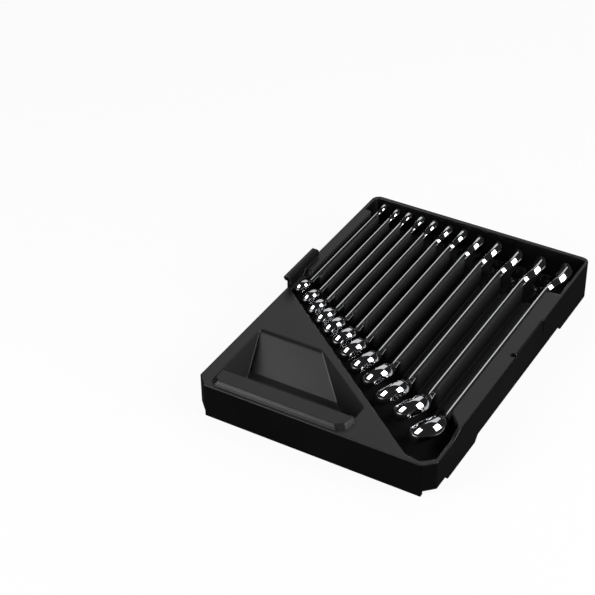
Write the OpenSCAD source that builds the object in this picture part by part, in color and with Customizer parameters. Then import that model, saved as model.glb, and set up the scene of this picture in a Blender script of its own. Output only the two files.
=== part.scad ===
// Moulded bench tray holding twelve combination wrenches that lean in a sawtooth bed

/* [Tray] */
// Width of the tray body, left to right
tray_w = 208; // [200:1:240]
// Depth of the tray body, front to back
tray_d = 300; // [296:1:340]
// Height of the side ledges and of the back rim
rim_h = 35.4; // [33:0.2:42]
// Height of the front deck
deck_h = 31; // [28:0.2:32.4]
// Thickness of the moulded walls
wall = 2.4; // [1.8:0.1:3]
// Length of the corner cut across each front corner
front_cut = 9; // [6:0.5:12]
// Radius of the rear corners
rear_r = 7; // [4:0.5:10]
// Height of the gap under the walls between the feet
foot_gap = 5.1; // [3:0.1:6]

/* [Wrench bay] */
// Height of the bay floor under the ring ends and the open ends
well_floor = 7.5; // [7:0.5:9]
// Height of the valleys between the teeth
valley_h = 16; // [13:0.5:19]
// Thickness of the lip at the top of each tooth
lip_t = 1.6; // [1.2:0.1:2.2]
// Distance from a ring neck back to the front end of its tooth
tooth_setback = 12; // [9:0.5:15]
// Width of the left ledge
left_ledge_w = 9.4; // [8:0.5:11]
// Width of the right ledge
right_ledge_w = 14.8; // [12:0.2:15]
// From the front end of the diagonal wall to the right side
diagonal_gap = 25; // [20:0.5:32]
// Left end of the diagonal wall, from the front
diagonal_y = 141; // [136:1:143]

/* [Scoop pocket] */
// Distance from the left side to the pocket
pocket_x = 9.3; // [8.5:0.1:13]
// From the right end of the pocket to the front end of the diagonal wall
pocket_gap = 51; // [48:0.5:60]
// Distance from the front to the pocket
pocket_y = 19.5; // [17:0.5:24]
// Distance from the front to the back edge of the pocket
pocket_back = 82.5; // [70:0.5:86]
// Slope of the pocket's back ramp in degrees
pocket_slope = 39; // [32:1:45]
// Height of the pocket floor
pocket_floor = 5; // [4:0.5:12]
// Height of the raised step in front of the pocket
step_h = 3.8; // [2:0.2:5]

/* [Hook tab] */
// Length of the hook tab on the left side
tab_l = 50; // [30:1:60]
// Distance from the front to the hook tab
tab_y = 142; // [140:1:146]
// Height of the top of the hook tab
tab_top = 43.8; // [41:0.1:45]
// Radius of the rolled bead on the hook tab
bead_r = 2.55; // [1.8:0.05:2.8]
// Thickness of the hook tab
tab_t = 2; // [1.6:0.1:2.6]

/* [Wrenches] */
// Number of the smallest wrench in the series
first_number = 8; // [8]
// Size across flats that one step of the series adds
size_step = 1; // [0.9:0.05:1.1]
// Tilt of the ring end out of the shank plane in degrees
ring_tilt = 15; // [10:1:16]
// Turn of the open mouth in the shank plane in degrees
mouth_turn = 15; // [10:1:20]
// Depth of the shank's upper edge below the rim, as a share of the ring's radius
seat_share = 0.31; // [0.2:0.01:0.4]
// Clearance between a wrench and the tray
wrench_gap = 0.1; // [0.05:0.05:0.3]

/* [Hidden] */
// Slots from left to right: place of the lip as a share of the width between the ledges, distance of
// the ring neck from the diagonal wall in ring radii, and of the open neck from the back in head radii
SLOTS = [
    [0.037, 2.995, 3.337], [0.111, 2.931, 3.416], [0.1768, 2.699, 3.235], [0.2448, 2.735, 3.175],
    [0.3156, 2.755, 3.166], [0.3939, 2.821, 3.158], [0.4701, 2.773, 3.081], [0.5582, 2.82, 3.146],
    [0.6518, 2.952, 3.141], [0.7595, 3.034, 3.195], [0.877, 3.388, 3.16], [1, 3.327, 3.049],
];
count = len(SLOTS);
plastic = [0.13, 0.13, 0.135];
chrome = [0.8, 0.81, 0.83];
// Thin rim beside the wells, and the overlap that joins one shape to the next
rim_t = 3;
left_rim_t = 4.7;
weld = 0.5;
over = 1;
// Bed of the hook tab, and how far the bead stands out past the left side
tab_x = 0.6;
bead_out = 2.75;
bead_x = bead_r - bead_out;
// Raised gaps between the feet: where each starts and ends at the ground, and the run of its sloped ends
CORNER_GAP = [-20, 28];
SIDE_GAP = [tray_d / 4, tray_d - 59];
gap_slope = 5;
// Ramps that lead from the deck level up to the ledges
right_ramp = [33, 50];
left_ramp = [164.5, 170.5];
left_ledge_end = tray_d - 25;
ledge_nose = 15;
diagonal_x = tray_w - diagonal_gap;
pocket_l = diagonal_x - pocket_gap - pocket_x;
pocket_back_l = 0.467 * pocket_l;
pocket_side = 38;
pocket_draft = 14;
pocket_r = 4;
diagonal_end_y = 5.2;
step_y = 4.2;
step_cut = 4.4;
step_start = pocket_x + 3.9;
step_end = pocket_x + pocket_l + 0.6;
// Space between the smallest shank and the tooth on its right
first_gap = 1.2;

// Turn a vector of two numbers into one of length 1
function unit(v) = v / norm(v);

// Arc that rounds the corner b = [x, y, radius] between its neighbours a and c
function corner_arc(a, b, c, steps) =
    let (p = [b[0], b[1]], u = unit([a[0], a[1]] - p), v = unit([c[0], c[1]] - p))
    len(b) < 3 || b[2] <= 0 ? [p] :
    let (
        half = acos(u * v) / 2,
        reach = b[2] / tan(half),
        middle = p + unit(u + v) * b[2] / sin(half),
        s = p + u * reach - middle,
        e = p + v * reach - middle,
        from = atan2(s[1], s[0]),
        turn = (atan2(e[1], e[0]) - from + 540) % 360 - 180
    )
    [for (k = [0:steps]) middle + b[2] * [cos(from + turn * k / steps), sin(from + turn * k / steps)]];

// Closed outline from corner points [x, y, radius]
function rounded(pts, steps = 5) =
    let (n = len(pts))
    [for (i = [0:n - 1]) each corner_arc(pts[(i + n - 1) % n], pts[i], pts[(i + 1) % n], steps)];

// Plan outline of the tray, moved inward by g
function body_outline(g = 0) =
    let (c = front_cut + g * (sqrt(2) - 1), r = max(rear_r - g, 0.5))
    rounded([
        [c, g, 2], [tray_w - c, g, 2], [tray_w - g, c, 2], [tray_w - g, tray_d - g, r],
        [g, tray_d - g, r], [g, c, 2],
    ]);

// S-shaped rise from one height to another between two places
function rise(from, to, low, high, steps = 8) =
    [for (k = [0:steps]) [from + (to - from) * k / steps, low + (high - low) * (1 - cos(180 * k / steps)) / 2]];

// Stand a profile drawn in y and z up, from x = from to x = to
module along_x(from, to) {
    translate([from, 0, 0]) rotate([90, 0, 90]) linear_extrude(to - from) children();
}

// Run a profile drawn in x and z from y = from to y = to
module along_y(from, to) {
    translate([0, to, 0]) rotate([90, 0, 0]) linear_extrude(to - from) children();
}

// Sizes of a wrench, from its size across flats
function shank_w(s) = 0.62 * s + 2.6 * size_step;
function shank_t(s) = 0.22 * s + 1.4 * size_step;
function ring_r(s) = 0.8 * s + 1.2 * size_step;
function ring_t(s) = 0.5 * s + 3 * size_step;
function head_r(s) = 0.98 * s + 0.4 * size_step;
function head_t(s) = 0.36 * s + 1.8 * size_step;

// Places in slot i
function size(i) = (first_number + i) * size_step;
function lip_x(i) = left_ledge_w + SLOTS[i][0] * (tray_w - left_ledge_w - right_ledge_w);
function ring_neck(i) =
    diagonal_y - (lip_x(i) - left_rim_t) * (diagonal_y - diagonal_end_y) / (diagonal_x - left_rim_t)
    + SLOTS[i][1] * ring_r(size(i));
function open_neck(i) = tray_d - SLOTS[i][2] * head_r(size(i));
function lip_left(i) = lip_x(i) + (i == 0 ? first_gap : 0);
function foot_x(i) = i == 0 ? left_ledge_w : lip_left(i - 1) + lip_t;
function pitch(i) = i == 0 ? lip_x(1) - lip_x(0) : lip_x(i) - lip_x(i - 1);
function lean(i) = atan((rim_h - valley_h) / pitch(i));
function tooth_front(i) = ring_neck(i) + tooth_setback;
function tooth_back(i) = open_neck(i) - 0.1 * head_r(size(i)) - 0.4;
function ring_y(i) = ring_neck(i) - 0.86 * ring_r(size(i));
function head_y(i) = open_neck(i) + 1.15 * head_r(size(i)) + 0.24 * ring_r(size(i));
// Middle of the rounded right edge of the shank, which lies against the lip
function edge_x(i) = lip_x(i) - wrench_gap - shank_t(size(i)) / 2;
function edge_z(i) = rim_h - seat_share * ring_r(size(i));
// Height of the ramp under the shank at x
function ramp_z(i, x) =
    edge_z(i) + (sin(lean(i)) * (x - edge_x(i)) - shank_t(size(i)) / 2 - wrench_gap) / cos(lean(i));
function ramp_x(i, z) = edge_x(i)
    + ((z - edge_z(i)) * cos(lean(i)) + shank_t(size(i)) / 2 + wrench_gap) / sin(lean(i));

// Section of tooth i, from the valley foot up the ramp to the lip
function tooth_profile(i) =
    let (
        x0 = foot_x(i), x1 = lip_left(i), z0 = well_floor - weld,
        low = ramp_z(i, x0) < valley_h ? [[x0, valley_h], [ramp_x(i, valley_h), valley_h]] : [[x0, ramp_z(i, x0)]]
    )
    concat(
        [[x0 - (i == 0 ? over : 0), z0]], [[x0 - (i == 0 ? over : 0), low[0][1]]], low,
        [[x1, ramp_z(i, x1)]],
        i == count - 1 ? [[x1 + over, ramp_z(i, x1)], [x1 + over, z0]]
            : [[x1, rim_h], [x1 + lip_t, rim_h], [x1 + lip_t, z0]]
    );

// Section of the hollow under tooth i, one wall thickness inside it
function tooth_core(i) =
    let (
        x0 = foot_x(i), xr = lip_left(i) + lip_t - wall, z0 = well_floor - wall - weld,
        drop = wall / cos(lean(i)), zv = valley_h - wall, zt = ramp_z(i, xr) - drop,
        xv = ramp_x(i, zv + drop)
    )
    [[x0, z0], [x0, zv], [xv, zv], [xr, zt], [xr, z0]];

// Side view of tooth i, with its top corners rounded
function tooth_side(i) =
    let (y0 = tooth_front(i), y1 = tooth_back(i), z0 = well_floor - weld)
    rounded([[y0, z0], [y0, rim_h, i == 0 ? 8 : 3], [y1, rim_h, 2], [y1, z0]]);

// Plan of tooth i, with the upright edges of its right face rounded
function tooth_plan(i) =
    let (y0 = tooth_front(i), y1 = tooth_back(i), x1 = lip_left(i) + lip_t + (i == count - 1 ? over : 0))
    rounded([[foot_x(i) - over, y0], [x1, y0, 3], [x1, y1, 1.5], [foot_x(i) - over, y1]]);

module teeth() {
    for (i = [0:count - 1])
        if (i == count - 1) along_y(tooth_front(i), tooth_back(i)) polygon(tooth_profile(i));
        else intersection() {
            along_y(tooth_front(i), tooth_back(i)) polygon(tooth_profile(i));
            along_x(foot_x(i) - over, lip_left(i) + lip_t + over) polygon(tooth_side(i));
            linear_extrude(rim_h) polygon(tooth_plan(i));
        }
}

module tooth_cores() {
    for (i = [0:count - 1])
        if (ramp_x(i, valley_h - wall + wall / cos(lean(i))) > foot_x(i))
            along_y(tooth_front(i) + (i == 0 ? 2 : 1) * wall, tooth_back(i) - wall) polygon(tooth_core(i));
}

// Plan of the wrench bay, between the rims, the ledges and the diagonal wall
function bay_outline() =
    rounded([
        [rim_t, tray_d - rim_t, 4], [rim_t, left_ledge_end, 1], [left_ledge_w, left_ledge_end, 2],
        [left_ledge_w, left_ramp[0] + 3, 2], [left_rim_t, left_ramp[0] - 2, 2], [left_rim_t, diagonal_y, 1.5],
        [diagonal_x, diagonal_end_y, 3], [tray_w - rim_t - front_cut, rim_t + 1, 3],
        [tray_w - rim_t, front_cut + rim_t, 3], [tray_w - rim_t, tooth_front(count - 1) - ledge_nose, 7],
        [tray_w - right_ledge_w, tooth_front(count - 1) - 2, 7], [tray_w - right_ledge_w, tooth_back(count - 1), 3],
        [tray_w - rim_t, tooth_back(count - 1), 2], [tray_w - rim_t, tray_d - rim_t, 4],
    ]);

// Side profile of the pocket: its back edge, ramp and floor, moved outward by g
function pocket_profile(g) =
    let (
        run = (deck_h - pocket_floor) / tan(pocket_slope), top = deck_h + step_h + over,
        back = pocket_back + g / sin(pocket_slope) - g / tan(pocket_slope), foot = pocket_floor - g
    )
    rounded([
        [pocket_back + 20, top], [pocket_back + 20, deck_h - g], [back, deck_h - g, 7],
        [back - run, foot, 14], [pocket_y - 10, foot], [pocket_y - 10, top],
    ]);

// Plan of the pocket, moved outward by g
function pocket_plan(g) =
    let (x0 = pocket_x - g, x1 = pocket_x + pocket_l + g, y0 = pocket_y - g, y1 = pocket_back + 2.5 + g)
    rounded([
        [x0, y0, pocket_r], [x1, y0, pocket_r], [x1, pocket_side + g * 0.4, pocket_r],
        [pocket_x + pocket_back_l + g * 0.4, y1, pocket_r], [x0, y1, pocket_r],
    ], 3);

// Space of the scoop pocket, grown by g
module pocket_space(g) {
    top = deck_h + step_h + over;
    taper = (top - pocket_floor) * tan(pocket_draft);
    intersection() {
        along_x(0, tray_w) polygon(pocket_profile(g));
        hull() {
            translate([0, 0, top]) linear_extrude(0.01) polygon(pocket_plan(g));
            translate([0, 0, pocket_floor - g - over]) linear_extrude(0.01) polygon(pocket_plan(g - taper));
        }
    }
}

// Hollow under the deck
module deck_hollow() {
    dir = unit([diagonal_x - left_rim_t, diagonal_end_y - diagonal_y]);
    base = [left_rim_t, diagonal_y] + wall * [dir[1], -dir[0]];
    reach = [(wall - base[0]) / dir[0], (wall - base[1]) / dir[1]];
    c = front_cut + wall * (sqrt(2) - 1);
    difference() {
        translate([0, 0, -over]) linear_extrude(deck_h - wall + over) polygon([
            [wall, c], [c, wall], base + dir * reach[1], base + dir * reach[0],
        ]);
        pocket_space(wall);
    }
}

// Plan of the raised step, moved inward by g except at the pocket
function step_plan(g) =
    let (y0 = step_y + g, y1 = pocket_y + 0.6, x0 = step_start + g, x1 = step_end - g, c = step_cut)
    rounded([
        [x0, y1], [x0, y0 + c, 1], [x0 + c, y0, 1], [x1 - 1.9 * c, y0, 1], [x1 - 0.45 * c, y0 + 1.1 * c, 1], [x1, y1],
    ], 3);

// Raised step between the pocket and the front edge, in two tiers
module step() {
    half_h = step_h / 2;
    hull() {
        translate([0, 0, deck_h - weld]) linear_extrude(weld) polygon(step_plan(-0.9));
        translate([0, 0, deck_h + half_h - 0.5]) linear_extrude(0.5) polygon(step_plan(-0.4));
    }
    hull() {
        translate([0, 0, deck_h + half_h - weld]) linear_extrude(weld) polygon(step_plan(0.3));
        translate([0, 0, deck_h + step_h - 0.1]) linear_extrude(0.1) polygon(step_plan(1.2));
    }
}

// Outer block with its low deck and its high ledges and rims
module block() {
    linear_extrude(deck_h) polygon(body_outline());
    intersection() {
        linear_extrude(rim_h) polygon(body_outline());
        union() {
            along_x(tray_w - right_ledge_w - over, tray_w + over) polygon(concat(
                [[right_ramp[0], deck_h - over]], rise(right_ramp[0], right_ramp[1], deck_h, rim_h),
                [[tray_d + over, rim_h], [tray_d + over, deck_h - over]]
            ));
            along_x(-over, left_ledge_w + over) polygon(concat(
                [[left_ramp[0], deck_h - over]], rise(left_ramp[0], left_ramp[1], deck_h, rim_h),
                [[tray_d + over, rim_h], [tray_d + over, deck_h - over]]
            ));
            translate([0, tray_d - rear_r - rim_t, deck_h - over]) cube([tray_w, rear_r + rim_t, rim_h]);
        }
    }
}

// Tab on the left side with a rolled bead that hooks over the next tray
module hook_tab() {
    axis_z = tab_top - bead_r;
    intersection() {
        along_y(tab_y, tab_y + tab_l) union() {
            translate([bead_x, axis_z]) circle(bead_r, $fn = 32);
            translate([tab_x, deck_h - weld]) square([tab_t, axis_z - deck_h + weld]);
        }
        along_x(-bead_out - over, tab_x + tab_t + over) polygon(rounded([
            [tab_y, deck_h - over], [tab_y, tab_top, 1.5], [tab_y + tab_l, tab_top, 6],
            [tab_y + tab_l, deck_h - over],
        ]));
    }
}

// Recess and notch in the right side where the next tray's tab hooks in, grown by g
module side_recess(g = 0) {
    y0 = tab_y + 5;
    y1 = tab_y + tab_l + 10;
    along_y(y0 - g, y1 + g) polygon([
        [tray_w - 1.8 - g, rim_h + over], [tray_w - 1.8 - g, rim_h - g], [tray_w - 0.7 - g, rim_h - 1.3 - g],
        [tray_w, rim_h / 2 - g], [tray_w + over, rim_h / 2 - g], [tray_w + over, rim_h + over],
    ]);
    translate([tray_w - tab_t - 2.8 - g, y0 - 2.1 - g, rim_h - 3 - g])
        cube([tab_t + 2.8 + g + over, 4.4 + 2 * g, 3 + g + over]);
}

// Outline of a gap under a side wall, wider at the ground
function gap_profile(g) = [
    [g[0] - over * gap_slope / foot_gap, -over], [g[0] + gap_slope, foot_gap],
    [g[1] - gap_slope, foot_gap], [g[1] + over * gap_slope / foot_gap, -over],
];

// Gaps under the side walls and corners between the feet
module foot_gaps() {
    difference() {
        union() {
            along_x(-over, tray_w + over) polygon(gap_profile(SIDE_GAP));
            for (x = [-over, tray_w - front_cut])
                along_x(x, x + front_cut + over) polygon(gap_profile(CORNER_GAP));
        }
        translate([0, 0, -2 * over]) linear_extrude(foot_gap + 4 * over) polygon(body_outline(wall));
    }
}

module tray() {
    color(plastic) place() difference() {
        union() {
            difference() {
                block();
                translate([0, 0, well_floor]) linear_extrude(rim_h) polygon(bay_outline());
            }
            teeth();
            step();
            hook_tab();
        }
        pocket_space(0);
        deck_hollow();
        tooth_cores();
        translate([0, 0, -over]) linear_extrude(well_floor - wall + over) difference() {
            polygon(body_outline(wall));
            polygon([[0, 0], [diagonal_x - 2 * wall, 0], [0, diagonal_y - 2 * wall]]);
        }
        difference() {
            along_y(tooth_front(count - 1) + wall, tooth_back(count - 1) - wall) polygon([
                [tray_w - right_ledge_w + wall, -over], [tray_w - right_ledge_w + wall, rim_h - wall],
                [tray_w - wall, rim_h - wall], [tray_w - wall, -over],
            ]);
            side_recess(wall);
        }
        side_recess();
        foot_gaps();
    }
}

// Ring end with its flat faces at z, rounded on the outside
module ring_body(s) {
    r = ring_r(s);
    h = ring_t(s) / 2;
    bulge = 0.16 * r;
    rotate_extrude($fn = 48) polygon(concat(
        [[0, -h]], [for (k = [-4:4]) [r - bulge * pow(abs(k) / 4, 2.4), h * k / 4]], [[0, h]]
    ));
}

// Twelve-sided ring opening, cut through with a small chamfer at each face
module ring_hole(s) {
    h = ring_t(s) / 2;
    for (a = [0, 30])
        rotate(a) cylinder(h = 2 * h + 2, d = s / cos(30), center = true, $fn = 6);
    for (side = [-1, 1])
        translate([0, 0, side * (h - 0.4)])
            cylinder(h = 1.6, r1 = s / 2 + (side < 0 ? 1.4 : 0), r2 = s / 2 + (side > 0 ? 1.4 : 0), center = true, $fn = 48);
}

// Open head: a round disc with rounded edges
module head_body(s) {
    r = head_r(s);
    h = head_t(s) / 2;
    bulge = 0.06 * r;
    rotate_extrude($fn = 48) polygon(concat(
        [[0, -h]], [for (k = [-4:4]) [r - bulge * pow(abs(k) / 4, 2.6), h * k / 4]], [[0, h]]
    ));
}

// Mouth of the open head, with the ends of its jaws cut square
module head_mouth(s) {
    r = head_r(s);
    deep = 0.38 * s;
    rotate(mouth_turn) {
        translate([-s / 2, s * 0.05, -r]) cube([s, 2 * r, 2 * r]);
        translate([0, s * 0.05, 0]) scale([1, 2 * deep / s, 1]) cylinder(h = 2 * r, d = s, center = true, $fn = 48);
        translate([-2 * r, 0.74 * r, -r]) cube([4 * r, r, 2 * r]);
    }
}

// Rounded section of the shank, made smaller by g
function shank_section(s, g = 0) =
    let (w = shank_w(s) / 2 - g, t = shank_t(s) / 2 - g)
    rounded([[w, -t, t * 0.98], [w, t, t * 0.98], [-w, t, t * 0.98], [-w, -t, t * 0.98]], 4);

// Combination wrench lying flat, its ring centre at y = 0 and its open head at y = length
module wrench(s, length) {
    r = ring_r(s);
    rh = head_r(s);
    bend = r;
    difference() {
        union() {
            along_y(bend, length) polygon(shank_section(s));
            translate([0, bend, 0]) rotate([-ring_tilt, 0, 0]) translate([0, -bend, 0]) ring_body(s);
            hull() {
                along_y(1.45 * r, 1.5 * r) polygon(shank_section(s, 0.15));
                translate([0, bend, 0]) rotate([-ring_tilt, 0, 0]) translate([0, -bend, 0])
                    cylinder(h = 0.62 * ring_t(s), r = 0.82 * r, center = true, $fn = 32);
            }
            translate([0, length, 0]) head_body(s);
            hull() {
                along_y(length - 1.25 * rh, length - 1.2 * rh) polygon(shank_section(s, 0.15));
                translate([0, length - 0.05 * rh, 0])
                    cylinder(h = 0.86 * head_t(s), r = 0.86 * rh, center = true, $fn = 32);
            }
        }
        translate([0, bend, 0]) rotate([-ring_tilt, 0, 0]) translate([0, -bend, 0]) ring_hole(s);
        translate([0, length, 0]) head_mouth(s);
    }
}

// Wrench i leaning in its slot
module seated_wrench(i) {
    s = size(i);
    reach = shank_w(s) / 2 - shank_t(s) / 2;
    color(chrome) place()
        translate([edge_x(i) - reach * cos(lean(i)), ring_y(i), edge_z(i) - reach * sin(lean(i))])
            rotate([0, -lean(i), 0]) wrench(s, head_y(i) - ring_y(i));
}

// Move the tray so that the middle of its box stands on the origin
module place() {
    translate([-(tray_w - bead_out) / 2, -tray_d / 2, 0]) children();
}

tray();
seated_wrench(0);  // wrench_8
seated_wrench(1);  // wrench_9
seated_wrench(2);  // wrench_10
seated_wrench(3);  // wrench_11
seated_wrench(4);  // wrench_12
seated_wrench(5);  // wrench_13
seated_wrench(6);  // wrench_14
seated_wrench(7);  // wrench_15
seated_wrench(8);  // wrench_16
seated_wrench(9);  // wrench_17
seated_wrench(10);  // wrench_18
seated_wrench(11);  // wrench_19
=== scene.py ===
import bpy
import numpy as np
from itertools import product
from math import radians, sin, cos, atan, pi
from mathutils import Vector, Matrix


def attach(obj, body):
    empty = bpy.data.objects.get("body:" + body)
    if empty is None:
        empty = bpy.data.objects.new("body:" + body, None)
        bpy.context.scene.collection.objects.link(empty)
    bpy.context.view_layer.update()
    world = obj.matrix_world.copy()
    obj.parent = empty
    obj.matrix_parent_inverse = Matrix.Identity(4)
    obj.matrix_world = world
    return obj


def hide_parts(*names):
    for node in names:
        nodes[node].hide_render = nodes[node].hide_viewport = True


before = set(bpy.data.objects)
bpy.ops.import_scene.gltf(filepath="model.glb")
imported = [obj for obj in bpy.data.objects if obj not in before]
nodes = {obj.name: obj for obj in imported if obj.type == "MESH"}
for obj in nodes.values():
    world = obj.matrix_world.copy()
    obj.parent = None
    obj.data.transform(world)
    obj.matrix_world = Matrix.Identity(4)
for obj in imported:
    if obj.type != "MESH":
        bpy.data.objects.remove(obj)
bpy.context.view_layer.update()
print("loaded", len(nodes), "nodes")


class Wire:
    # one output socket with Python operators on it
    def __init__(self, tree, socket):
        self.tree = tree
        self.socket = socket

    def joined(self, operation, *terms):
        # output of a Math node that is fed with the terms
        node = self.tree.nodes.new("ShaderNodeMath")
        node.operation = operation
        for socket, value in zip(node.inputs, terms):
            plug(self.tree, socket, value)
        return Wire(self.tree, node.outputs[0])

    def __add__(self, other):
        return self.joined("ADD", self, other)

    def __radd__(self, other):
        return self.joined("ADD", other, self)

    def __sub__(self, other):
        return self.joined("SUBTRACT", self, other)

    def __rsub__(self, other):
        return self.joined("SUBTRACT", other, self)

    def __mul__(self, other):
        return self.joined("MULTIPLY", self, other)

    def __abs__(self):
        return self.joined("ABSOLUTE", self)

    def clamp(self, low=0.0, high=1.0):
        raised = self.joined("MAXIMUM", self, low)
        return self.joined("MINIMUM", raised, high)

    def mask(self, sharpness):
        # nought where this is negative, soon 1 where it isn't
        return (self * sharpness).clamp()


def plug(tree, socket, value):
    if isinstance(value, Wire):
        tree.links.new(value.socket, socket)
    else:
        socket.default_value = value


class Finish:
    # one material and its node tree
    def __init__(self, name):
        self.material = bpy.data.materials.new(name)
        self.material.use_nodes = True
        self.tree = self.material.node_tree
        self.tree.nodes.clear()

    def node(self, kind, settings=None, out=0, **inputs):
        # inputs go by their label, with _ for a space, or by their place as in0, in1
        made = self.tree.nodes.new("ShaderNode" + kind)
        for key, value in (settings or {}).items():
            setattr(made, key, value)
        for key, value in inputs.items():
            label = int(key[2:]) if key[2:].isdigit() else key.replace("_", " ")
            plug(self.tree, made.inputs[label], value)
        return Wire(self.tree, made.outputs[out])

    def noise(self, scale, detail, roughness, stretch=(1, 1, 1)):
        place = self.node("TexCoord", out="Object")
        place = self.node("VectorMath", {"operation": "MULTIPLY"}, in0=place, in1=stretch)
        return self.node("TexNoise", out="Fac", Vector=place, Scale=scale, Detail=detail, Roughness=roughness)

    def blend(self, fac, a, b):
        # colours go through a Mix node, never through Math
        made = self.tree.nodes.new("ShaderNodeMix")
        made.data_type = "RGBA"
        plug(self.tree, made.inputs[0], fac)
        plug(self.tree, made.inputs[6], a)
        plug(self.tree, made.inputs[7], b)
        return Wire(self.tree, made.outputs[2])

    def bump(self, height, strength, distance, **normal):
        return self.node("Bump", out="Normal", Height=height, Strength=strength, Distance=distance, **normal)

    def surface(self, shader):
        end = self.tree.nodes.new("ShaderNodeOutputMaterial")
        self.tree.links.new(shader.socket, end.inputs["Surface"])
        return self.material

    def principled(self, **inputs):
        return self.surface(self.node("BsdfPrincipled", **inputs))


plastic = {
    "colour": (0.0028, 0.0028, 0.003, 1),
    "worn": (0.0048, 0.0048, 0.005, 1),
    "wornFrom": 0.42,
    "wornContrast": 3.0,
    "upright": (0.0145, 0.0145, 0.0148, 1),  # painted light: lighter colour on the upright faces inside the bay and the pocket
    "inside": (0.1, 0.1459),  # half width and half depth of the space between the rims
    "insideSharpness": 900,
    "uprightFade": (1.15, 1.5),  # start and rate of the fade towards level faces
    "speckleRange": (0.55, 0.9),
    # painted shade: near-black colour for level faces in a band around the height of the wells' floor, where
    # the wells lie in shade
    "paintedShadeBayFloor": (0.0006, 0.0006, 0.0006, 1),
    "bayFloorHeight": 0.0075,
    "bayFloorBand": 0.0014,
    # painted light: lighter colour for level faces below the pocket floor's top, lifting the shaded strip at
    # the foot of the pocket's ramp
    "paintedLightPocketFloor": (0.028, 0.028, 0.028, 1),
    "pocketFloorTop": 0.0062,
    "floorSharpness": 3000,
    "roughness": 0.38,
    "roughening": (0.12, 0.06, 0.12, 0.5),  # by clouds, flow, upright faces and bay floor
    "gloss": 0.5,
    # scale, detail, roughness and stretch of each noise
    "grain": (2600, 3.0, 0.6),
    "cloud": (14, 4.0, 0.55),
    "flow": (60, 2.0, 0.5, (1, 0.25, 1)),
    "speckle": (1400, 2.0, 0.7),
    "grainStrength": 0.35,
    "grainDepth": 0.00006,
    "edge": 0.0017,
    "edgeSamples": 16,
}


def trayFinish():
    f = Finish("satin black moulding")
    grain, cloud, flow, speckle = (f.noise(*plastic[k]) for k in ("grain", "cloud", "flow", "speckle"))
    place = f.node("TexCoord", out="Object")
    across, along, height = (f.node("SeparateXYZ", out=axis, Vector=place) for axis in "XYZ")
    facing = f.node("NewGeometry", out="Normal")
    level = abs(f.node("SeparateXYZ", out="Z", Vector=facing))

    halfWidth, halfDepth = plastic["inside"]
    inside = (halfWidth - abs(across)).mask(plastic["insideSharpness"])
    inside = inside * (halfDepth - abs(along)).mask(plastic["insideSharpness"])
    start, rate = plastic["uprightFade"]
    least, more = plastic["speckleRange"]
    # painted light: upright faces inside the bay and the pocket get a lighter colour, fading towards level
    # faces and broken up by speckle
    upright = inside * (start - level * rate).clamp() * (least + speckle * more).clamp(0, 1.2)
    offFloor = abs(height - plastic["bayFloorHeight"])
    # painted shade: level faces within the band around the wells' floor height are darkened
    paintedShadeBayFloor = (plastic["bayFloorBand"] - offFloor).mask(plastic["floorSharpness"]) * level
    # painted light: level faces below the pocket floor's top are made lighter
    paintedLightPocketFloor = (plastic["pocketFloorTop"] - height).mask(plastic["floorSharpness"]) * level

    worn = (cloud - plastic["wornFrom"]).mask(plastic["wornContrast"])
    colour = f.blend(worn, plastic["colour"], plastic["worn"])
    colour = f.blend(upright.clamp(), colour, plastic["upright"])
    colour = f.blend(paintedShadeBayFloor, colour, plastic["paintedShadeBayFloor"])
    colour = f.blend(paintedLightPocketFloor, colour, plastic["paintedLightPocketFloor"])
    byCloud, byFlow, onUprights, onFloor = plastic["roughening"]
    rough = plastic["roughness"] + (cloud - 0.5) * byCloud + (flow - 0.5) * byFlow
    rough = rough + upright * onUprights + paintedShadeBayFloor * onFloor
    rounding = f.node("Bevel", {"samples": plastic["edgeSamples"]}, Radius=plastic["edge"])
    normal = f.bump(grain, plastic["grainStrength"], plastic["grainDepth"], Normal=rounding)
    return f.principled(Base_Color=colour, Roughness=rough, Normal=normal, Specular_IOR_Level=plastic["gloss"])


chrome = {
    "colour": (0.72, 0.725, 0.74, 1),
    "dull": (0.62, 0.63, 0.65, 1),
    "dullFrom": 0.45,
    "dullContrast": 2.2,
    "roughness": 0.07,
    "roughening": (0.05, 0.03),  # by smears and clouds
    # scale, detail, roughness and stretch of each noise
    "cloud": (35, 3.0, 0.5),
    "smear": (240, 2.0, 0.5, (1, 0.12, 1)),
    "wave": (90, 1.0, 0.4),
    "waveStrength": 0.1,
    "waveDepth": 0.00005,
}


def wrenchFinish():
    f = Finish("polished chrome plating")
    cloud, smear, wave = (f.noise(*chrome[k]) for k in ("cloud", "smear", "wave"))
    dull = (cloud - chrome["dullFrom"]).mask(chrome["dullContrast"])
    colour = f.blend(dull, chrome["colour"], chrome["dull"])
    bySmear, byCloud = chrome["roughening"]
    rough = chrome["roughness"] + (smear - 0.5) * bySmear + (cloud - 0.5) * byCloud
    normal = f.bump(wave, chrome["waveStrength"], chrome["waveDepth"])
    return f.principled(Base_Color=colour, Metallic=1.0, Roughness=rough, Normal=normal)


trayPlastic = trayFinish()
wrenchChrome = wrenchFinish()
for name, piece in nodes.items():
    finish = trayPlastic if name == "tray" else wrenchChrome
    piece.data.materials.clear()
    piece.data.materials.append(finish)
print("finishes on the solids")


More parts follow.
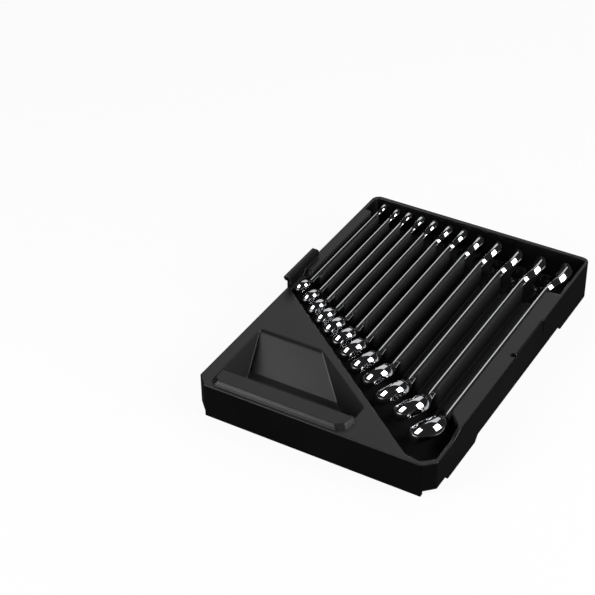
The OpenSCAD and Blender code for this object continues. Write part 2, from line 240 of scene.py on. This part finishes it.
# millimetres, and shares of the ring's or the head's radius where a comment says so
wrench = {
    # lip x, ring neck y and open neck y of each slot, from the tray's front left corner
    "slots": [
        (16.2, 155, 272.5), (29.8, 146.5, 268.5), (41.9, 137.5, 267), (54.4, 130.5, 264.5),
        (67.4, 123, 261.5), (81.8, 115, 258.5), (95.8, 106, 256.5), (112, 96.5, 252.5),
        (129.2, 87.5, 249.5), (149, 76, 245.5), (170.6, 67.5, 243), (193.2, 52, 242),
    ],
    "corner": (-102.625, -150, 0),  # that corner in the frame
    "rim": 35.4,
    "valley": 16.0,  # height where the ramps under the shanks begin
    "lipGap": 0.1,
    "seatShare": 0.31,  # how far the shank's edge sits below the rim, in ring radii
    "shankInset": 0.35,  # how far the shank's edge stays inside the solid's
    "firstSize": 8,
    "lastSize": 19,
    "ringTilt": radians(15),
    "mouthTurn": radians(15),
    "ringBulge": (0.16, 2.1),  # how much the side curves in, in radii, and the power of the curve
    "headBulge": (0.06, 2.6),
    "bulgeEnd": 1.2,  # height up to which these curves go on, in half thicknesses
    "headTaper": (0.42, 1.2),  # share of the thickness lost towards the shank, and its power
    "ringNeck": (1.7, 1.1),  # where the neck begins and how long it is, in radii
    "headNeck": (1.6, 1.15),
    "neckWidth": (0.55, 0.84),  # half width where the neck meets ring and head, in radii
    "neckThickness": 0.6,  # of the ring's or the head's
    "headNeckPower": (2.4, 2),  # how late the neck widens and thickens
    "shankRounding": 0.5,  # of its half thickness
    "shankStart": 0.4,  # inside the ring, in radii
    "ringBlend": 0.3,  # soft joint of ring and shank, in radii
    "headBlend": 0.1,
    "headRim": 1.0,
    "openingRim": 0.28,
    "mouthRim": 0.6,
    "funnel": (0.9, 0.02),  # how much wider the opening is at its rims, fixed and for each millimetre of size
    "mouthDepth": (0.05, 0.38),  # start and depth of the round bottom, as shares of the size
    "jawReach": 0.74,  # from the head's middle, in radii
    "ringMiddle": 0.86,  # from the ring's neck, in ring radii
    "headMiddle": (1.15, 0.24),  # from the open neck, in head radii and ring radii
    "evenSlope": {"ring": 0.93, "shank": 0.95, "mouth": 0.9, "funnel": 0.7},  # keeps each slope near one
    # grid cells of the skins
    "fineStep": 0.45,
    "fineShare": (0.72, 0.28),  # fixed share of the fine step, and the one that grows up to the last size
    "coarseStep": 4.0,
    "stepChange": 14,  # length over which the fine steps grow into the coarse ones
    "fineZone": (2.1, 1.9),  # how far the fine steps reach from the ring's and the head's middle, in radii
    "margin": 1.2,
    "endMargin": 2,
    "tiltRoom": 0.4,  # height that the tilted ring needs, in radii
    "slopeStep": 0.02,
    "leastSlope": 0.2,  # squared
    "drawSteps": 4,
    "drawLimit": 0.3,
}


def roundMax(a, b, k):
    h = np.maximum(k - np.abs(a - b), 0) / k
    return np.maximum(a, b) + h * h * k * 0.25


def roundMin(a, b, k):
    return -roundMax(-a, -b, k)


def wrenchSizes(s):
    # half widths, half thicknesses and radii of the wrench that is s mm across flats
    return {
        "flats": s, "ringRim": 1.7 - 0.062 * s,
        "w": (0.62 * s + 1.9) / 2, "t": (0.22 * s + 1.4) / 2,
        "ringR": 0.8 * s + 1.2, "ringH": (0.5 * s + 3) / 2,
        "headR": 0.98 * s + 0.4, "headH": (0.36 * s + 1.8) / 2,
    }


def ringBody(d, rho, z):
    # signed distance to a barrel whose side curves in towards both rims
    depth, power = wrench["ringBulge"]
    curve = np.minimum(np.abs(z) / d["ringH"], wrench["bulgeEnd"]) ** power
    side = rho - d["ringR"] + depth * d["ringR"] * curve
    return roundMax(side * wrench["evenSlope"]["ring"], np.abs(z) - d["ringH"], d["ringRim"])


def shankBody(d, x, y, z, length):
    # rounded bar along y that grows into a neck at both ends
    begin, run = wrench["ringNeck"]
    near = np.clip((begin * d["ringR"] - y) / (run * d["ringR"]), 0, 1)
    near = near * near * (3 - 2 * near)
    begin, run = wrench["headNeck"]
    far = np.clip((begin * d["headR"] - (length - y)) / (run * d["headR"]), 0, 1)
    atRing, atHead = wrench["neckWidth"]
    late, lateThick = wrench["headNeckPower"]
    share = wrench["neckThickness"]
    w = d["w"] + (atRing * d["ringR"] - d["w"]) * near + (atHead * d["headR"] - d["w"]) * far ** late
    t = d["t"] + (share * d["ringH"] - d["t"]) * near + (share * d["headH"] - d["t"]) * far ** lateThick
    rise = np.maximum(d["ringR"] - y, 0) * sin(wrench["ringTilt"]) / cos(wrench["ringTilt"])
    r = wrench["shankRounding"] * d["t"]
    qx, qz = np.abs(x) - (w - r), np.abs(z - rise) - (t - r)
    outer = np.sqrt(np.maximum(qx, 0) ** 2 + np.maximum(qz, 0) ** 2)
    bar = (outer + np.minimum(np.maximum(qx, qz), 0) - r) * wrench["evenSlope"]["shank"]
    return np.maximum(np.maximum(bar, wrench["shankStart"] * d["ringR"] - y), y - length)


def headBody(d, x, y, z):
    # disc that thins towards the shank, y from its middle
    depth, power = wrench["headBulge"]
    curve = np.minimum(np.abs(z) / d["headH"], wrench["bulgeEnd"]) ** power
    side = np.sqrt(x * x + y * y) - d["headR"] + depth * d["headR"] * curve
    loss, power = wrench["headTaper"]
    half = d["headH"] * (1 - loss * np.clip(-y / d["headR"], 0, 1) ** power)
    return roundMax(side, np.abs(z) - half, wrench["headRim"])


def ringOpening(d, x, y, z, rho):
    # twelve points from two hexagons, with a funnel at both rims
    half = d["flats"] / 2
    hexagons = []
    for start in (0, 30):
        turns = [radians(start + turn) for turn in (0, 60, 120)]
        flats = [np.abs(x * cos(turn) + y * sin(turn)) for turn in turns]
        hexagons.append(np.maximum(np.maximum(flats[0], flats[1]), flats[2]) - half)
    wider, growth = wrench["funnel"]
    funnel = rho - (half + wider + growth * d["flats"] + np.abs(z) - d["ringH"])
    return np.minimum(np.minimum(*hexagons), funnel * wrench["evenSlope"]["funnel"])


def mouthOpening(d, x, y):
    # jaws with a round bottom, y from the head's middle
    s = d["flats"]
    cm, sm = cos(wrench["mouthTurn"]), sin(wrench["mouthTurn"])
    across, along = x * cm + y * sm, y * cm - x * sm
    start, depth = wrench["mouthDepth"]
    below = np.minimum(along - start * s, 0) * (s / 2) / (depth * s)
    mouth = (np.sqrt(across * across + below * below) - s / 2) * wrench["evenSlope"]["mouth"]
    return np.minimum(mouth, wrench["jawReach"] * d["headR"] - along)


def wrenchField(x, y, z, s, length):
    # a wrench that lies flat, ring at y = 0, open head at y = length
    d = wrenchSizes(s)
    bend = d["ringR"]
    ct, st = cos(wrench["ringTilt"]), sin(wrench["ringTilt"])
    yr, zr = (y - bend) * ct - z * st + bend, (y - bend) * st + z * ct
    rho = np.sqrt(x * x + yr * yr)
    body = roundMin(ringBody(d, rho, zr), shankBody(d, x, y, z, length), wrench["ringBlend"] * d["ringR"])
    body = roundMin(body, headBody(d, x, y - length, z), wrench["headBlend"] * d["headR"])
    body = roundMax(body, -ringOpening(d, x, yr, zr, rho), wrench["openingRim"])
    return roundMax(body, -mouthOpening(d, x, y - length), wrench["mouthRim"])


def fieldSlope(points, s, length):
    e = wrench["slopeStep"]
    slopes = []
    for shift in np.eye(3) * e:
        ahead, behind = wrenchField(*(points + shift).T, s, length), wrenchField(*(points - shift).T, s, length)
        slopes.append(ahead - behind)
    return np.stack(slopes, axis=1) / (2 * e)


def stepsAlong(stops):
    # coordinates that change from one step size to the next without a jump
    line = [stops[0][0]]
    while line[-1] < stops[-1][0]:
        here = line[-1]
        line.append(here + np.interp(here, [q[0] for q in stops], [q[1] for q in stops]))
    return np.array(line)


def gridAround(s, length):
    # fine cells around ring and head, long ones along the plain shank
    d = wrenchSizes(s)
    least, more = wrench["fineShare"]
    fine = wrench["fineStep"] * (least + more * s / wrench["lastSize"])
    coarse = wrench["coarseStep"]
    change, beyond = wrench["stepChange"], wrench["endMargin"]
    reach = max(d["ringR"], d["headR"]) + wrench["margin"]
    high = max(d["ringH"], d["headH"]) + d["ringR"] * wrench["tiltRoom"] + wrench["margin"]
    xs = np.arange(-reach, reach + fine, fine)
    zs = np.arange(-high, high + fine, fine)
    ringZone, headZone = wrench["fineZone"]
    ringEnd, headStart = ringZone * d["ringR"], length - headZone * d["headR"]
    ys = stepsAlong([
        (-d["ringR"] - beyond, fine), (ringEnd, fine), (ringEnd + change, coarse),
        (headStart - change, coarse), (headStart, fine), (length + d["headR"] + beyond, fine),
    ])
    return np.meshgrid(xs, ys, zs, indexing="ij")


def netPoints(grid, value):
    # one point in each cell that the surface crosses, and the number of each cell's point
    shape = tuple(n - 1 for n in value.shape)
    corners = {low: tuple(slice(a, a + n) for a, n in zip(low, shape)) for low in product((0, 1), repeat=3)}
    count = sum((value[cut] < 0).astype(np.int8) for cut in corners.values())
    crossed = (count > 0) & (count < 8)
    number = np.full(shape, -1)
    number[crossed] = np.arange(crossed.sum())
    total = np.zeros((crossed.sum(), 3))
    hits = np.zeros(crossed.sum())
    for low, axis in product(corners, range(3)):
        if low[axis]:
            continue
        high = tuple(1 if n == axis else low[n] for n in range(3))
        here, there = value[corners[low]][crossed], value[corners[high]][crossed]
        cut = (here < 0) != (there < 0)
        share = np.where(cut, here / np.where(cut, here - there, 1), 0)
        for n, line in enumerate(grid):
            start, end = line[corners[low]][crossed], line[corners[high]][crossed]
            total[:, n] += np.where(cut, start + share * (end - start), 0)
        hits += cut
    return total / hits[:, None], number


def netFaces(inside, number):
    # one face of four points around each grid edge that the surface cuts
    shape = number.shape
    quads = []
    for axis in range(3):
        u, v = (axis + 1) % 3, (axis + 2) % 3
        ahead = np.moveaxis(inside, axis, 0)
        edges = np.argwhere(np.moveaxis(ahead[1:] != ahead[:-1], 0, axis))
        edges = edges[(edges[:, u] > 0) & (edges[:, v] > 0)]
        edges = edges[(edges[:, u] < shape[u]) & (edges[:, v] < shape[v])]
        around = []
        for du, dv in ((1, 1), (0, 1), (0, 0), (1, 0)):
            cell = edges.copy()
            cell[:, u] -= du
            cell[:, v] -= dv
            around.append(number[tuple(cell.T)])
        four = np.stack(around, axis=1)
        outward = inside[tuple(edges.T)]
        quads.append(np.where(outward[:, None], four, four[:, ::-1]))
    return np.concatenate(quads)


def skinOf(s, length):
    # surface net of the field, drawn onto the surface step by step
    grid = gridAround(s, length)
    value = wrenchField(*grid, s, length)
    points, number = netPoints(grid, value)
    quads = netFaces(value < 0, number)
    for step in range(wrench["drawSteps"]):
        slope = fieldSlope(points, s, length)
        steep = np.maximum((slope ** 2).sum(1), wrench["leastSlope"])[:, None]
        push = wrenchField(*points.T, s, length)[:, None] * slope / steep
        points = points - np.clip(push, -wrench["drawLimit"], wrench["drawLimit"])
    slope = fieldSlope(points, s, length)
    return points, quads, slope / np.linalg.norm(slope, axis=1)[:, None]


def seat(i):
    # size, lean, place and length of the wrench in slot i
    s = wrench["firstSize"] + i
    d = wrenchSizes(s)
    lip, ringNeck, headNeck = wrench["slots"][i]
    before = wrench["slots"][i - 1][0] if i else 2 * lip - wrench["slots"][1][0]
    lean = atan((wrench["rim"] - wrench["valley"]) / (lip - before))
    edge = lip - wrench["lipGap"] - d["t"]
    edgeZ = wrench["rim"] - wrench["seatShare"] * d["ringR"]
    reach = d["w"] + wrench["shankInset"] - d["t"]
    ringY = ringNeck - wrench["ringMiddle"] * d["ringR"]
    inHead, inRing = wrench["headMiddle"]
    headY = headNeck + inHead * d["headR"] + inRing * d["ringR"]
    middle = (edge - reach * cos(lean), ringY, edgeZ - reach * sin(lean))
    return s, lean, middle, headY - ringY


def makeWrench(i):
    s, lean, middle, length = seat(i)
    points, quads, normals = skinOf(s, length)
    turn = np.array([[cos(lean), 0, -sin(lean)], [0, 1, 0], [sin(lean), 0, cos(lean)]])
    points = (points @ turn.T + np.array(middle) + np.array(wrench["corner"])) / 1000
    normals = normals @ turn.T
    mesh = bpy.data.meshes.new(f"wrench_{s}_skin")
    mesh.from_pydata(points.tolist(), [], quads.tolist())
    mesh.polygons.foreach_set("use_smooth", [True] * len(quads))
    mesh.normals_split_custom_set_from_vertices(normals.tolist())
    mesh.materials.append(wrenchChrome)
    piece = bpy.data.objects.new(f"wrench_{s}_skin", mesh)
    bpy.context.scene.collection.objects.link(piece)
    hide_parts(f"wrench_{s}")
    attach(piece, "root")
    return len(quads) * 2


triangles = sum(makeWrench(i) for i in range(len(wrench["slots"])))
print("wrench skins:", triangles, "triangles")


studio = {
    "floorSize": 6.0,
    "floorColour": (0.08, 0.08, 0.08, 1),
    "floorGlow": 0.92,
    "tableColour": (0.012, 0.012, 0.012, 1),  # floor as the object is lit by it
    "glossShare": 0.015,  # how much of the white floor the metal and plastic mirror
    "sky": (0.5, 0.5, 0.5, 1),
    "skyStrength": 0.04,
    # azimuth from the front (right is positive), elevation, distance, width, height, radiance
    "lamps": {
        "leftBox": (-36, 27, 1.3, 0.72, 0.85, 5.6),
        "rightBox": (92, 30, 1.3, 0.8, 1.2, 5.5),
        "topPanel": (-160, 47, 1.5, 1.7, 1.45, 0.74),
    },
}


def directionTo(azimuth, elevation):
    # unit vector from the middle of the floor, both angles in degrees
    az, el = radians(azimuth), radians(elevation)
    return Vector((sin(az) * cos(el), -cos(az) * cos(el), sin(el)))


def softBox(name, azimuth, elevation, distance, width, height, radiance):
    lamp = bpy.data.lights.new(name, "AREA")
    lamp.shape = "RECTANGLE"
    lamp.size, lamp.size_y = width, height
    lamp.energy = radiance * pi * width * height
    toLamp = directionTo(azimuth, elevation)
    holder = bpy.data.objects.new(name, lamp)
    holder.location = toLamp * distance
    holder.rotation_euler = toLamp.to_track_quat("Z", "Y").to_euler()
    bpy.context.scene.collection.objects.link(holder)


def floorFinish():
    f = Finish("white paper sweep")
    paper = f.node("BsdfDiffuse", Color=studio["floorColour"])
    table = f.node("BsdfDiffuse", Color=studio["tableColour"])
    white = f.node("Emission", Color=(1, 1, 1, 1), Strength=studio["floorGlow"])
    shown = f.node("AddShader", in0=paper, in1=white)
    camera, glossy, transmission = (
        f.node("LightPath", out=f"Is {kind} Ray") for kind in ("Camera", "Glossy", "Transmission")
    )
    seen = (camera + transmission + glossy * studio["glossShare"]).clamp()
    return f.surface(f.node("MixShader", in0=seen, in1=table, in2=shown))


def makeStudio():
    half = studio["floorSize"] / 2
    sheet = bpy.data.meshes.new("floor")
    corners = [(-half, -half, 0), (half, -half, 0), (half, half, 0), (-half, half, 0)]
    sheet.from_pydata(corners, [], [(0, 1, 2, 3)])
    floor = bpy.data.objects.new("floor", sheet)
    floor.data.materials.append(floorFinish())
    bpy.context.scene.collection.objects.link(floor)
    world = bpy.data.worlds.new("studio")
    world.use_nodes = True
    sky = world.node_tree.nodes["Background"]
    sky.inputs["Color"].default_value = studio["sky"]
    sky.inputs["Strength"].default_value = studio["skyStrength"]
    bpy.context.scene.world = world
    for name, values in studio["lamps"].items():
        softBox(name, *values)


makeStudio()
print("studio lit")

# camera: orbit of a point on the floor, set from the straight edges of the tray
shot = {
    "target": (-0.109735, 0.02107, 0.0),
    "azimuth": 30.98,
    "elevation": 36.24,
    "roll": radians(-0.91),
    "distance": 1.4210,
    "lens": 99.25,
    "sensor": 36,
    "farthest": 20,
}


def makeCamera():
    back = directionTo(shot["azimuth"], shot["elevation"])
    right = (-back).cross(Vector((0, 0, 1))).normalized()
    up = right.cross(-back)
    tiltedRight = cos(shot["roll"]) * right + sin(shot["roll"]) * up
    tiltedUp = cos(shot["roll"]) * up - sin(shot["roll"]) * right
    place = Vector(shot["target"]) + back * shot["distance"]
    turn = Matrix((tiltedRight, tiltedUp, back)).transposed().to_4x4()
    lens = bpy.data.cameras.new("camera")
    lens.lens = shot["lens"]
    lens.sensor_width = shot["sensor"]
    lens.clip_end = shot["farthest"]
    camera = bpy.data.objects.new("camera", lens)
    camera.matrix_world = Matrix.Translation(place) @ turn
    bpy.context.scene.collection.objects.link(camera)
    bpy.context.scene.camera = camera


makeCamera()
bpy.context.scene.view_settings.view_transform = "Standard"
print("camera set")
